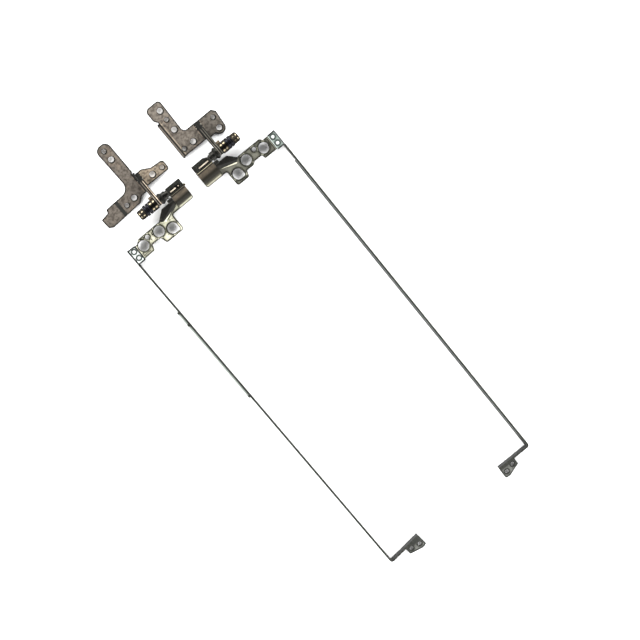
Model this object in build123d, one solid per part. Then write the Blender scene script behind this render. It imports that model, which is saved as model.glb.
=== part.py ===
"""Laptop hinge pair, left and right, lying opened flat beside each other.

Each hinge is built in its own frame. +X runs along the shaft from the lock nut to the shaft's
inner end, +Y points to the base brackets, +Z is up, and Z = 0 is the surface that the hinge lies
on. The two ears meet at X = 0. The right hinge is built the same way and then mirrored.
Sizes are in millimetres.
"""
import os
from math import acos, atan2, cos, hypot, pi, radians, sin

from build123d import *

# The pair
EAR_SPACING = 38.6

# Stamped sheet of the base brackets
SHEET = 1.1
BEND_R = 0.5
EDGE_BREAK = 0.25
SCREW_HOLE_R = 1.4
PIN_HOLE_R = 1.05

# Ears, which hold the shaft
AXIS_Y = 0.4
AXIS_Z = 5.2
EAR_R = 2.4
EAR_TOP = 4.9
EAR_KNEE = 4.2
EAR_KNEE_RISE = 0.4
EAR_KNEE_R = 2.0
EAR_CREST_R = 0.8
EAR_EDGE_BREAK = 0.18
LEFT_CREST_Y = 13.4
RIGHT_CREST_Y = 14.6

# Shaft
JOURNAL_R = 1.5
FLAT_HALF = 1.2
COLLAR_R = 2.3
COLLAR_LEN = 2.1
NECK_R = 1.7
NECK_LEN = 1.0
TONGUE_R = 1.6
TONGUE_HALF = 1.0
TONGUE_LEN = 7.6
THREAD_END = 0.4

# Clearances
RUN_GAP = 0.05
FACE_GAP = 0.02
SEAT_GAP = 0.02

# Friction stack
WASHER_R = 2.9
TAB_WASHER_T = 1.75
TAB_REACH = 4.2
TAB_TOP = 0.4
TAB_BOTTOM = -1.1
KEYED_WASHER_T = 1.75
SPRING_COUNT = 4
SPRING_T = 0.7
SPRING_RISE = 0.15
SPRING_R = 2.9
SPRING_HOLE_GAP = 0.15
NUT_LEN = 3.6
NUT_FLATS = 5.1
NUT_CHAMFER_LEN = 1.1
NUT_FACE_R = 2.1
FRICTION_WASHER_T = 0.35
FRICTION_WASHER_R = 2.7
STOP_WASHER_T = 1.6
STOP_WASHER_R = 3.0
STOP_WASHER_CHAMFER = 0.7

# Cast lid bracket, whose plate is held clear of the surface by the rail
LID_LIFT = 1.2
LID_T = 1.8
LID_EDGE_BREAK = 0.3
RIM_W = 0.75
POCKET_DEPTH = 0.35
LID_HOLE_R = 2.7
LID_HOLE_CORNER_R = 0.9
LID_PIN_R = 1.1
LEFT_BOX_LEN = 8.6
RIGHT_BOX_LEN = 9.7
LEFT_BOX_CORNER = (0.3, 0.4)
RIGHT_BOX_CORNER = (2.6, 1.2)
BOX_BACK = 2.3
BOX_FRONT = 1.9
BOX_HALF_H = 2.5
RIDGE_GROOVE = 0.4
HOOD_WALL = 1.4
HOOD_END_WALL = 1.2
HOOD_CORNER_R = 1.0
HOOD_FOOT_W = 1.1
HOOD_FOOT_RISE = 0.3
HOOD_BULGE_Y = 0.7
HOOD_BULGE_Z = 0.35
PATCH_LEN = 2.7
PATCH_DROP = 1.2
WINDOW_START = 0.9
WINDOW_LEN = 6.2
WINDOW_BACK = 0.6
WINDOW_FRONT = 1.3
WINDOW_CORNER_R = 0.4
LUG_LEN = 0.7
LUG_BACK = -1.2
LUG_FRONT = -2.3
LUG_BOTTOM = 2.8
LUG_TOP = 6.6
LID_BACK_Y = -7.6
LID_OVERLAP = 0.4
NECK_CLEAR = 4.1
NECK_TOP = 4.2
NECK_RUN = 2.0
NECK_BACK_X = -1.1
LEFT_NECK_END_X = -6.1
RIGHT_NECK_END_X = -4.9
SHELF_GAP = 0.3
SHELF_TOP = 3.6
RIDGE_X = -2.8
RIDGE_Y = -10.0
RIDGE_ANGLE = 20.0

# Rail
RAIL_T = 1.0
RAIL_BEND_R = 0.3
RAIL_OUTER_X = -27.3
RAIL_END_Y = -216.6
FOOT_IN_X = -22.4
FOOT_BACK_Y = -8.8
FOOT_FRONT_Y = -17.5
FOOT_CORNER_R = 0.9
FOOT_GAP = 0.05
CORNER_R = 0.6
ARM_LEN = 19.6
ARM_TILT = {"left": 5.0, "right": 2.0}
TAB_LEN = 9.6
TAB_INNER_DEPTH = 4.6
TAB_OUTER_DEPTH = 7.0
TAB_END_STEP = 0.3
TAB_END_RUN = 2.6
TAB_HOLE_R = 1.05
TAB_HOLES = [(7.1, -2.9), (2.5, -4.2)]
LIP_W = 0.9
LIP_T = 0.8
LIP_START_Y = -48.1
LIP_END_Y = -102.6
NUB_SIZE = 1.2
NUB_H = 1.8
NUB_Y = [LIP_START_Y, -55.8, LIP_END_Y]
LEDGE_W = 0.4
LEDGE_START_Y = -27.0

# Rivets
RIVET_R = 0.9
RIVET_HEAD_R = 1.45
RIVET_HEAD_H = 0.4
RIVET_DIMPLE_R = 0.85
RIVET_DIMPLE_DEPTH = 0.3
RIVET_HOLES = [(-24.6, -11.0), (-24.6, -14.7)]

# Worked out from the sizes above
FOLD_X = SHEET + BEND_R
FOLD_OVERLAP = 0.4
TAB_WASHER_X = -SHEET
KEYED_WASHER_X = TAB_WASHER_X - TAB_WASHER_T - FACE_GAP
SPRING_X = KEYED_WASHER_X - KEYED_WASHER_T
NUT_X = SPRING_X - SPRING_COUNT * (SPRING_T + SPRING_RISE)
FRICTION_WASHER_X = SHEET + FACE_GAP
STOP_WASHER_X = FRICTION_WASHER_X + FRICTION_WASHER_T
COLLAR_X = STOP_WASHER_X + STOP_WASHER_T
NECK_X = COLLAR_X + COLLAR_LEN
HOOD_X0 = NECK_X + NECK_LEN
LEFT_HOOD_X1 = HOOD_X0 + LEFT_BOX_LEN
RIGHT_HOOD_X1 = HOOD_X0 + RIGHT_BOX_LEN
LID_TOP = LID_LIFT + LID_T
HOOD_FOOT_Z = LID_TOP + HOOD_FOOT_RISE
RAIL_H = LID_TOP + RAIL_T
RAIL_INNER_X = RAIL_OUTER_X + RAIL_T
LID_UNDER_FOOT_X = RAIL_INNER_X + RAIL_BEND_R + FOOT_GAP
FAR = 60.0


def outline(corners):
    """Closed face from (x, y, corner radius) triples."""
    points = [(x, y) for x, y, _ in corners]
    radii = [r for _, _, r in corners]
    return make_face(FilletPolyline(*points, radius=radii, close=True))


def prism(corners, bottom, top, lobes=()):
    """Upright prism on an outline, with round lobes given as (x, y, radius)."""
    face = outline(corners)
    for x, y, radius in lobes:
        face += Pos(x, y) * Circle(radius)
    return Pos(0, 0, bottom) * extrude(face, top - bottom)


def broken_top(solid, size):
    """Chamfer round the upper face of a prism."""
    return chamfer(solid.edges().group_by(Axis.Z)[-1], size)


def upright_hole(x, y, radius, top):
    """Cutter for a hole that goes down through z = 0."""
    return Pos(x, y, top / 2) * Cylinder(radius, top + 2)


def disc(x0, x1, radius):
    """Round bar on the shaft axis from x0 to x1."""
    return Pos((x0 + x1) / 2, AXIS_Y, AXIS_Z) * Rot(0, 90, 0) * Cylinder(radius, abs(x1 - x0))


def two_flat_bar(x0, x1, radius, half_z):
    """Round bar on the shaft axis with a flat above and a flat below."""
    middle = Pos((x0 + x1) / 2, AXIS_Y, AXIS_Z)
    return disc(x0, x1, radius) & middle * Box(abs(x1 - x0), 3 * radius, 2 * half_z)


def block(x0, x1, y0, y1, z0, z1):
    """Box between two corners."""
    return Pos((x0 + x1) / 2, (y0 + y1) / 2, (z0 + z1) / 2) * Box(
        abs(x1 - x0), abs(y1 - y0), abs(z1 - z0)
    )


def side_profile(wire_parts, x0, x1):
    """Face drawn in (y, z) and extruded along X from x0 to x1."""
    face = make_face(wire_parts)
    return Pos(x0, 0, 0) * extrude(Plane.YZ * face, x1 - x0)


def tangent_point(px, py, cx, cy, radius, turn):
    """Where a line from (px, py) touches a circle; turn picks the side."""
    distance = hypot(px - cx, py - cy)
    angle = atan2(py - cy, px - cx) + turn * acos(radius / distance)
    return cx + radius * cos(angle), cy + radius * sin(angle)


# Base brackets


def ear(fold_lo, fold_hi, crest_y):
    """Ear from the fold to the round end about the shaft, with its bore."""
    root_z = FOLD_X - BEND_R / 2
    knee = (AXIS_Y + EAR_KNEE, EAR_TOP + EAR_KNEE_RISE)
    heel = (fold_lo, root_z)
    upper = tangent_point(*knee, AXIS_Y, AXIS_Z, EAR_R, 1)
    lower = tangent_point(*heel, AXIS_Y, AXIS_Z, EAR_R, -1)
    side = FilletPolyline(
        lower,
        heel,
        (fold_hi, root_z),
        (crest_y, EAR_TOP),
        knee,
        upper,
        radius=[0, 0, EAR_CREST_R, EAR_KNEE_R],
    )
    nose = ThreePointArc(upper, (AXIS_Y - EAR_R, AXIS_Z), lower)
    blank = side_profile([side, nose], 0, SHEET)
    faces = blank.faces().filter_by(Axis.X)
    rims = faces.sort_by(Axis.X)[0].edges() + faces.sort_by(Axis.X)[-1].edges()
    blank = chamfer(rims, EAR_EDGE_BREAK)
    return blank - disc(-1, SHEET + 1, JOURNAL_R + RUN_GAP)


def fold(fold_lo, fold_hi):
    """Quarter-round bend that joins a plate on the +X side to its ear at X = 0."""
    ring = Cylinder(FOLD_X, fold_hi - fold_lo) - Cylinder(BEND_R, fold_hi - fold_lo)
    quarter = Pos(-FOLD_X / 2, FOLD_X / 2, 0) * Box(FOLD_X, FOLD_X, fold_hi - fold_lo)
    bend = ring & quarter
    return Pos(FOLD_X, (fold_lo + fold_hi) / 2, FOLD_X) * Rot(90, 0, 0) * Rot(0, 0, 90) * bend


def stamped_plate(corners, holes, lobes=()):
    """Flat plate with a broken upper edge and round holes given as (x, y, radius)."""
    plate = broken_top(prism(corners, 0, SHEET, lobes), EDGE_BREAK)
    for x, y, radius in holes:
        plate -= upright_hole(x, y, radius, SHEET)
    return plate


def with_ear(plate, fold_lo, fold_hi, crest_y):
    """Plate on the +X side joined to its fold and ear."""
    return plate + fold(fold_lo, fold_hi) + ear(fold_lo, fold_hi, crest_y)


def flip_x(shape):
    """Mirror image across the plane between the ears."""
    return mirror(shape, about=Plane.YZ)


def left_base_bracket():
    """Long arm, body and a raised tab; it stands on the outer side of the ears."""
    fold_lo, fold_hi = 7.3, 18.3
    edge = FOLD_X - FOLD_OVERLAP
    corners = [
        (7.9, 38.3, 3.2),
        (0.45, 38.3, 3.2),
        (0.4, 19.2, 0.3),
        (edge, fold_hi, 0),
        (edge, fold_lo, 0),
        (4.4, fold_lo, 1.4),
        (6.9, 5.0, 1.4),
        (24.3, 4.1, 0.8),
        (26.5, 5.3, 0.8),
        (26.8, 10.5, 0.5),
        (22.2, 11.2, 0.4),
        (21.8, 13.0, 0.7),
        (7.2, 13.5, 4.5),
    ]
    holes = [
        (4.5, 35.2, PIN_HOLE_R),
        (4.3, 30.0, SCREW_HOLE_R),
        (12.7, 8.4, PIN_HOLE_R),
        (7.7, 9.0, SCREW_HOLE_R),
    ]
    step_near, step_far, rise = 15.1, 16.8, 1.0
    flat = stamped_plate(corners, holes) - block(step_near, FAR, -FAR, FAR, -FAR, FAR)
    tab = Pos(0, 0, rise) * stamped_plate(corners, [])
    tab -= block(-FAR, step_far, -FAR, FAR, -FAR, FAR)
    slope = extrude(
        Plane.XZ
        * make_face(
            Polyline(
                (step_near, 0),
                (step_near, SHEET),
                (step_far, SHEET + rise),
                (step_far, rise),
                close=True,
            )
        ),
        -FAR,
    )
    slope &= prism(corners, 0, SHEET + rise)
    return flip_x(with_ear(flat + slope + tab, fold_lo, fold_hi, LEFT_CREST_Y))


def left_wing_bracket():
    """Short wing on the inner side of the ears."""
    fold_lo, fold_hi = 9.2, 17.3
    edge = FOLD_X - FOLD_OVERLAP
    corners = [
        (edge, fold_lo, 0),
        (edge, fold_hi, 0),
        (3.4, 17.5, 1.5),
        (7.9, 15.0, 2.0),
        (14.7, 14.5, 1.5),
        (14.7, 9.0, 1.4),
    ]
    holes = [(6.4, 12.1, SCREW_HOLE_R), (12.2, 11.8, PIN_HOLE_R)]
    return with_ear(stamped_plate(corners, holes), fold_lo, fold_hi, LEFT_CREST_Y)


def right_base_bracket():
    """Arm with a folded side flange; it stands on the inner side of the ears."""
    fold_lo, fold_hi = 8.5, 18.2
    flange_lo, flange_hi, flange_top = 8.1, 28.4, 3.6
    outer = 15.5
    flange_fold = outer - FOLD_X
    edge = FOLD_X - FOLD_OVERLAP
    corners = [
        (edge, fold_lo, 0),
        (edge, fold_hi, 0),
        (7.3, 18.2, 2.0),
        (6.8, 37.5, 1.9),
        (outer, 37.5, 2.3),
        (outer, 31.0, 1.2),
        (flange_fold + 0.1, 29.1, 0.6),
        (flange_fold + FOLD_OVERLAP, flange_hi, 0),
        (flange_fold + FOLD_OVERLAP, fold_lo, 0),
    ]
    holes = [
        (9.8, 33.1, SCREW_HOLE_R),
        (10.1, 27.9, PIN_HOLE_R),
        (10.2, 21.9, SCREW_HOLE_R),
        (12.3, 11.8, PIN_HOLE_R),
        (6.7, 11.8, SCREW_HOLE_R),
    ]
    plate = stamped_plate(corners, holes)
    bend = Pos(outer, 0, 0) * flip_x(fold(fold_lo, flange_hi))
    wall = block(outer - SHEET, outer, fold_lo, flange_hi, FOLD_X, flange_top)
    heel = block(outer - SHEET, outer, flange_lo, fold_lo, BEND_R, flange_top)
    flange = chamfer((wall + heel).edges().group_by(Axis.Z)[-1], EAR_EDGE_BREAK)
    return with_ear(plate + bend + flange, fold_lo, fold_hi, RIGHT_CREST_Y)


def right_wing_bracket():
    """Wing with a round lobe, on the outer side of the ears."""
    fold_lo, fold_hi = 7.8, 18.1
    edge = FOLD_X - FOLD_OVERLAP
    screw = (7.5, 8.9)
    lobe_r = 3.1
    corners = [
        (edge, fold_lo, 0),
        (edge, fold_hi, 0),
        (9.6, 18.1, 0.5),
        (11.3, 16.2, 0.8),
        (screw[0] + lobe_r, screw[1], 0),
        (screw[0], fold_lo, 0),
    ]
    holes = [(8.2, 14.7, PIN_HOLE_R), (*screw, SCREW_HOLE_R)]
    plate = stamped_plate(corners, holes, [(*screw, lobe_r)])
    return flip_x(with_ear(plate, fold_lo, fold_hi, RIGHT_CREST_Y))


# Shaft and friction stack


def shaft():
    """Threaded end, journal, flats, collar, neck and the tongue that the lid bracket holds."""
    outer_end = NUT_X - NUT_LEN + THREAD_END
    keyed = two_flat_bar(outer_end, KEYED_WASHER_X, JOURNAL_R, FLAT_HALF)
    keyed += two_flat_bar(FRICTION_WASHER_X, COLLAR_X, JOURNAL_R, FLAT_HALF)
    journal = disc(KEYED_WASHER_X, FRICTION_WASHER_X, JOURNAL_R)
    collar = disc(COLLAR_X, NECK_X, COLLAR_R)
    neck = disc(NECK_X, HOOD_X0, NECK_R)
    tongue_end = HOOD_X0 + TONGUE_LEN
    tongue = disc(HOOD_X0, tongue_end, TONGUE_R)
    tongue &= block(
        HOOD_X0, tongue_end, AXIS_Y - TONGUE_HALF, AXIS_Y + TONGUE_HALF, 0, 2 * AXIS_Z
    )
    return keyed + journal + collar + neck + tongue


def tab_washer():
    """Bronze washer held still by a tab that reaches towards the base brackets."""
    end = TAB_WASHER_X - TAB_WASHER_T
    tab = block(
        end,
        TAB_WASHER_X,
        AXIS_Y,
        AXIS_Y + TAB_REACH,
        AXIS_Z + TAB_BOTTOM,
        AXIS_Z + TAB_TOP,
    )
    ring = disc(end, TAB_WASHER_X, WASHER_R) + tab
    return ring - disc(end - 1, TAB_WASHER_X + 1, JOURNAL_R + RUN_GAP)


def keyed_ring(x0, x1, radius):
    """Ring with a two-flat hole that fits the shaft's flats."""
    hole = two_flat_bar(min(x0, x1) - 1, max(x0, x1) + 1, JOURNAL_R + SEAT_GAP, FLAT_HALF + SEAT_GAP)
    return disc(x0, x1, radius) - hole


def keyed_washer():
    """Bronze washer that turns with the shaft."""
    return keyed_ring(KEYED_WASHER_X - KEYED_WASHER_T, KEYED_WASHER_X, WASHER_R)


def friction_washer():
    """Thin washer beside the inner ear."""
    return keyed_ring(FRICTION_WASHER_X, STOP_WASHER_X, FRICTION_WASHER_R)


def stop_washer():
    """Thick washer with a wide bevel on the side away from the ears."""
    ring = keyed_ring(STOP_WASHER_X, COLLAR_X, STOP_WASHER_R)
    outer_edge = ring.edges().filter_by(GeomType.CIRCLE).group_by(Axis.X)[-1].sort_by(SortBy.RADIUS)[-1]
    return chamfer(outer_edge, STOP_WASHER_CHAMFER)


def spring_washers():
    """Conical disc springs stacked face to face and back to back."""
    hole_r = JOURNAL_R + SPRING_HOLE_GAP
    pitch = SPRING_T + SPRING_RISE
    springs = []
    for index in range(SPRING_COUNT):
        start = SPRING_X - index * pitch
        inner_lift = SPRING_RISE * (index % 2)
        outer_lift = SPRING_RISE - inner_lift
        section = Polyline(
            (start - inner_lift, AXIS_Z + hole_r),
            (start - inner_lift - SPRING_T, AXIS_Z + hole_r),
            (start - outer_lift - SPRING_T, AXIS_Z + SPRING_R),
            (start - outer_lift, AXIS_Z + SPRING_R),
            close=True,
        )
        face = Pos(0, AXIS_Y, 0) * (Plane.XZ * make_face(section))
        axis = Axis((0, AXIS_Y, AXIS_Z), (1, 0, 0))
        springs.append(revolve(face, axis))
    return Compound(children=[spring.solid() for spring in springs])


def lock_nut():
    """Hexagonal nut with a conical outer end."""
    across_corners_r = NUT_FLATS / 2 / cos(pi / 6)
    hexagon = RegularPolygon(across_corners_r, 6)
    end = NUT_X - NUT_LEN
    bar = Pos(end, AXIS_Y, AXIS_Z) * Rot(0, 90, 0) * extrude(hexagon, NUT_LEN)
    cone_len = NUT_CHAMFER_LEN
    cone = Pos(end + cone_len / 2, AXIS_Y, AXIS_Z) * Rot(0, 90, 0) * Cone(
        NUT_FACE_R, across_corners_r, cone_len
    )
    sleeve = disc(end + cone_len, NUT_X, across_corners_r)
    nut = bar & (cone + sleeve)
    return nut - disc(end - 1, NUT_X + 1, JOURNAL_R + SEAT_GAP)


# Cast lid bracket


def hood_sections(foot_y):
    """Outer and inner (y, z) outlines of the box and the hood, open below."""
    back = AXIS_Y + BOX_BACK
    front = AXIS_Y - BOX_FRONT
    top = AXIS_Z + BOX_HALF_H
    bottom = AXIS_Z - BOX_HALF_H
    patch_y = front - 2 * RIDGE_GROOVE
    patch_z = top - RIDGE_GROOVE
    brow_y = patch_y - PATCH_LEN
    brow_z = patch_z - PATCH_DROP
    toe_y = foot_y + HOOD_FOOT_W
    bulge_y = brow_y + HOOD_BULGE_Y * (toe_y - brow_y)
    bulge_z = brow_z + HOOD_BULGE_Z * (HOOD_FOOT_Z - brow_z)
    outer = [
        Polyline(
            (back, bottom),
            (back, top),
            (front, top),
            (front - RIDGE_GROOVE, patch_z - RIDGE_GROOVE / 2),
            (patch_y, patch_z),
            (brow_y, brow_z),
        ),
        ThreePointArc((brow_y, brow_z), (bulge_y, bulge_z), (toe_y, HOOD_FOOT_Z)),
    ]
    slant = HOOD_WALL * cos(pi / 4)
    inner_toe = toe_y + HOOD_WALL / 2
    inner_brow = (brow_y + HOOD_WALL / 2, brow_z - HOOD_WALL)
    inner_bulge = (bulge_y + slant, bulge_z - slant)
    shell = outer + [
        Polyline(
            (toe_y, HOOD_FOOT_Z),
            (foot_y, HOOD_FOOT_Z),
            (foot_y, LID_LIFT),
            (inner_toe, LID_LIFT),
            (inner_toe, HOOD_FOOT_Z - HOOD_WALL),
        ),
        ThreePointArc((inner_toe, HOOD_FOOT_Z - HOOD_WALL), inner_bulge, inner_brow),
        Polyline(inner_brow, (front, bottom), (back, bottom)),
    ]
    solid = outer + [
        Polyline(
            (toe_y, HOOD_FOOT_Z),
            (foot_y, HOOD_FOOT_Z),
            (foot_y, LID_LIFT),
            (front, LID_LIFT),
            (front, bottom),
            (back, bottom),
        )
    ]
    return shell, solid


def hood(foot_y, end_x, box_corner):
    """Box round the shaft's tongue and the curved hood in front of it."""
    shell, solid = hood_sections(foot_y)
    body = side_profile(shell, HOOD_X0, end_x)
    body += side_profile(solid, end_x - HOOD_END_WALL, end_x)
    back = AXIS_Y + BOX_BACK
    corner_run, corner_depth = box_corner
    plan = [
        (HOOD_X0, back - corner_depth, 0),
        (HOOD_X0 + corner_run, back, 0),
        (end_x, back, 0.3),
        (end_x, foot_y, HOOD_CORNER_R),
        (HOOD_X0, foot_y, 0),
    ]
    return body & prism(plan, 0, AXIS_Z + BOX_HALF_H)


def neck(neck_y, end_x):
    """Ramp under the ears that brings the hood down to the plate along a slanting ridge."""
    direction = radians(RIDGE_ANGLE)
    along = Vector(cos(direction), sin(direction), 0)
    across = Vector(-sin(direction), cos(direction), 0)
    section = Polyline(
        (0, LID_LIFT),
        (0, LID_TOP),
        (NECK_RUN, NECK_TOP),
        (FAR, NECK_TOP),
        (FAR, LID_LIFT),
        close=True,
    )
    plane = Plane(origin=Vector(RIDGE_X, RIDGE_Y, 0) - along * FAR, x_dir=across, z_dir=along)
    plan = [
        (HOOD_X0 + LID_OVERLAP, neck_y, 0),
        (NECK_BACK_X, neck_y, 0.6),
        (end_x, LID_BACK_Y, 0),
        (RIDGE_X, RIDGE_Y, 0),
        (HOOD_X0 + LID_OVERLAP, RIDGE_Y, 0),
    ]
    ramp = extrude(plane * make_face(section), 2 * FAR) & prism(plan, 0, NECK_TOP)
    shelf_back = AXIS_Y - COLLAR_R - SHELF_GAP
    shelf = block(
        COLLAR_X + SHELF_GAP, HOOD_X0 + LID_OVERLAP, neck_y - LID_OVERLAP, shelf_back, LID_LIFT, SHELF_TOP
    )
    return ramp + shelf


def squared_corner(reach):
    """Upright cutter that squares off one quarter of a round hole."""
    corner = Pos(reach / 2, -reach / 2, 0) * Box(reach, reach, FAR)
    edge = corner.edges().filter_by(Axis.Z).group_by(Axis.X)[-1].group_by(Axis.Y)[0]
    return fillet(edge, LID_HOLE_CORNER_R)


def lid_bracket(corners, holes, squared, foot_y, neck_end_x, hood_end_x, box_corner):
    """Cast plate with rims and holes, joined to the neck, the hood and the box."""
    plate = broken_top(prism(corners, LID_LIFT, LID_TOP), LID_EDGE_BREAK)
    pocket = extrude(offset(outline(corners), -RIM_W), LID_TOP)
    pocket = Pos(0, 0, LID_TOP - POCKET_DEPTH) * pocket
    pocket -= block(-FAR, FOOT_IN_X + RIM_W, -FAR, FAR, 0, FAR)
    for x, y, radius in holes:
        pocket -= Pos(x, y, 0) * Cylinder(radius + RIM_W, FAR)
    for x, y, turn in squared:
        pocket -= Pos(x, y, 0) * Rot(0, 0, turn) * squared_corner(LID_HOLE_R + RIM_W)
    bracket = plate - pocket + neck(AXIS_Y - NECK_CLEAR, neck_end_x)
    bracket += hood(foot_y, hood_end_x, box_corner)
    for x, y, radius in holes:
        bracket -= upright_hole(x, y, radius, LID_TOP)
    for x, y, turn in squared:
        bracket -= Pos(x, y, 0) * Rot(0, 0, turn) * squared_corner(LID_HOLE_R)
    for x, y in RIVET_HOLES:
        bracket -= upright_hole(x, y, RIVET_R + SEAT_GAP, LID_TOP)
    half = TONGUE_HALF + SEAT_GAP
    socket_end = HOOD_X0 + TONGUE_LEN + SEAT_GAP
    socket = disc(HOOD_X0 - 1, socket_end, TONGUE_R + SEAT_GAP)
    socket &= block(HOOD_X0 - 1, socket_end, AXIS_Y - half, AXIS_Y + half, 0, 2 * AXIS_Z)
    window_x = HOOD_X0 + WINDOW_START
    window = block(
        window_x,
        window_x + WINDOW_LEN,
        AXIS_Y - WINDOW_FRONT,
        AXIS_Y + WINDOW_BACK,
        AXIS_Z,
        AXIS_Z + 2 * BOX_HALF_H,
    )
    window = fillet(window.edges().filter_by(Axis.Z), WINDOW_CORNER_R)
    return bracket - socket - window


def left_lid_bracket():
    """Lid bracket of the left hinge."""
    foot_y = -9.1
    corners = [
        (HOOD_X0 + LID_OVERLAP, AXIS_Y - NECK_CLEAR, 0),
        (NECK_BACK_X, AXIS_Y - NECK_CLEAR, 0.6),
        (LEFT_NECK_END_X, LID_BACK_Y, 0.5),
        (-19.3, LID_BACK_Y, 0.6),
        (-21.3, -9.3, 0.6),
        (LID_UNDER_FOOT_X, -9.3, 0.3),
        (LID_UNDER_FOOT_X, -16.9, 0.3),
        (-16.4, -16.9, 0.9),
        (-15.6, -14.1, 0.6),
        (-10.3, -14.1, 0.8),
        (-9.4, -17.9, 1.3),
        (1.4, -17.9, 1.3),
        (1.4, foot_y, 1.0),
        (HOOD_X0 + LID_OVERLAP, foot_y, 0),
    ]
    inner = (-2.7, -14.2)
    holes = [
        (-19.1, -11.8, LID_HOLE_R),
        (-8.9, -11.1, LID_HOLE_R),
        (*inner, LID_HOLE_R),
        (-15.1, -9.6, LID_PIN_R),
    ]
    squared = [(*inner, 0)]
    bracket = lid_bracket(
        corners, holes, squared, foot_y, LEFT_NECK_END_X, LEFT_HOOD_X1, LEFT_BOX_CORNER
    )
    lug_end = LEFT_HOOD_X1 + LUG_LEN
    return bracket + block(
        LEFT_HOOD_X1, lug_end, AXIS_Y + LUG_FRONT, AXIS_Y + LUG_BACK, LUG_BOTTOM, LUG_TOP
    )


def right_lid_bracket():
    """Lid bracket of the right hinge, whose plate and hood reach further forward."""
    foot_y = -10.0
    corners = [
        (HOOD_X0 + LID_OVERLAP, AXIS_Y - NECK_CLEAR, 0),
        (NECK_BACK_X, AXIS_Y - NECK_CLEAR, 0.6),
        (RIGHT_NECK_END_X, LID_BACK_Y, 0.5),
        (-18.7, LID_BACK_Y, 0.4),
        (-19.9, -9.1, 0.4),
        (LID_UNDER_FOOT_X, -9.1, 0.3),
        (LID_UNDER_FOOT_X, -16.9, 0.3),
        (-15.3, -16.9, 0.6),
        (-14.9, -14.6, 0.6),
        (-10.4, -14.6, 1.0),
        (-8.6, -15.8, 1.5),
        (-4.5, -15.6, 0.6),
        (-3.6, -18.7, 1.2),
        (3.6, -18.7, 1.3),
        (3.6, foot_y, 1.0),
        (HOOD_X0 + LID_OVERLAP, foot_y, 0),
    ]
    inner = (-0.1, -14.2)
    holes = [
        (-17.9, -12.4, LID_HOLE_R),
        (-7.5, -11.5, LID_HOLE_R),
        (*inner, LID_HOLE_R),
        (-13.7, -9.9, LID_PIN_R),
    ]
    squared = [(*inner, -90)]
    return lid_bracket(
        corners, holes, squared, foot_y, RIGHT_NECK_END_X, RIGHT_HOOD_X1, RIGHT_BOX_CORNER
    )


# Rail


def rail(side):
    """Strip on edge with its foot plate, low lip or ledge, turned arm and screw tab."""
    tilt = radians(ARM_TILT[side])
    inner_start = RAIL_T * (1 + sin(tilt)) / cos(tilt)

    def arm_point(distance, sideways):
        x = RAIL_OUTER_X + distance * cos(tilt) - sideways * sin(tilt)
        return x, RAIL_END_Y + distance * sin(tilt) + sideways * cos(tilt)

    strip = [
        (RAIL_OUTER_X, FOOT_FRONT_Y, 0),
        (RAIL_OUTER_X, RAIL_END_Y, CORNER_R + RAIL_T),
        (*arm_point(ARM_LEN, 0), 0),
        (*arm_point(ARM_LEN, RAIL_T), 0),
        (*arm_point(inner_start, RAIL_T), CORNER_R),
        (RAIL_INNER_X, FOOT_FRONT_Y, 0),
    ]
    body = prism(strip, 0, RAIL_H)

    bend_in = RAIL_BEND_R
    bend_out = RAIL_BEND_R + RAIL_T
    shoulder = Pos(RAIL_OUTER_X, 0, 0) * rail_fold(FOOT_FRONT_Y, FOOT_BACK_Y)
    web = block(
        RAIL_OUTER_X, RAIL_INNER_X, FOOT_FRONT_Y, FOOT_BACK_Y, 0, RAIL_H - bend_out
    )
    foot = [
        (RAIL_OUTER_X + bend_out, FOOT_BACK_Y, 0),
        (FOOT_IN_X, FOOT_BACK_Y, FOOT_CORNER_R),
        (FOOT_IN_X, FOOT_FRONT_Y, FOOT_CORNER_R),
        (RAIL_OUTER_X + bend_out, FOOT_FRONT_Y, 0),
    ]
    body += web + shoulder + prism(foot, LID_TOP, RAIL_H)

    tab_start = ARM_LEN - TAB_LEN
    tab = [
        (*arm_point(tab_start, bend_in), 0),
        (*arm_point(tab_start, -TAB_INNER_DEPTH), 0.5),
        (*arm_point(ARM_LEN - TAB_END_RUN, -TAB_OUTER_DEPTH), 1.0),
        (*arm_point(ARM_LEN, TAB_END_STEP - TAB_OUTER_DEPTH), 0.6),
        (*arm_point(ARM_LEN, bend_in), 0),
    ]
    body += prism(tab, 0, RAIL_T)
    for from_end, sideways in TAB_HOLES:
        x, y = arm_point(ARM_LEN - from_end, sideways)
        body -= upright_hole(x, y, TAB_HOLE_R, RAIL_T)

    if side == "left":
        body += block(RAIL_OUTER_X - LIP_W, RAIL_OUTER_X, LIP_START_Y, LIP_END_Y, 0, LIP_T)
        for y in NUB_Y:
            body += block(
                RAIL_OUTER_X - LIP_W, RAIL_OUTER_X, y - NUB_SIZE / 2, y + NUB_SIZE / 2, 0, NUB_H
            )
    else:
        ledge_end_y = RAIL_END_Y + RAIL_T
        body += block(RAIL_INNER_X, RAIL_INNER_X + LEDGE_W, LEDGE_START_Y, ledge_end_y, 0, LIP_T)
    for x, y in RIVET_HOLES:
        body -= upright_hole(x, y, RIVET_R + SEAT_GAP, RAIL_H)
    return body


def rail_fold(y0, y1):
    """Quarter-round bend from the top of the strip to the foot plate."""
    outer_r = RAIL_BEND_R + RAIL_T
    length = y1 - y0
    ring = Cylinder(outer_r, length) - Cylinder(RAIL_BEND_R, length)
    bend = Rot(90, 0, 0) * ring
    bend &= Pos(-outer_r / 2, 0, outer_r / 2) * Box(outer_r, length, outer_r)
    return Pos(outer_r, (y0 + y1) / 2, RAIL_H - outer_r) * bend


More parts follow.
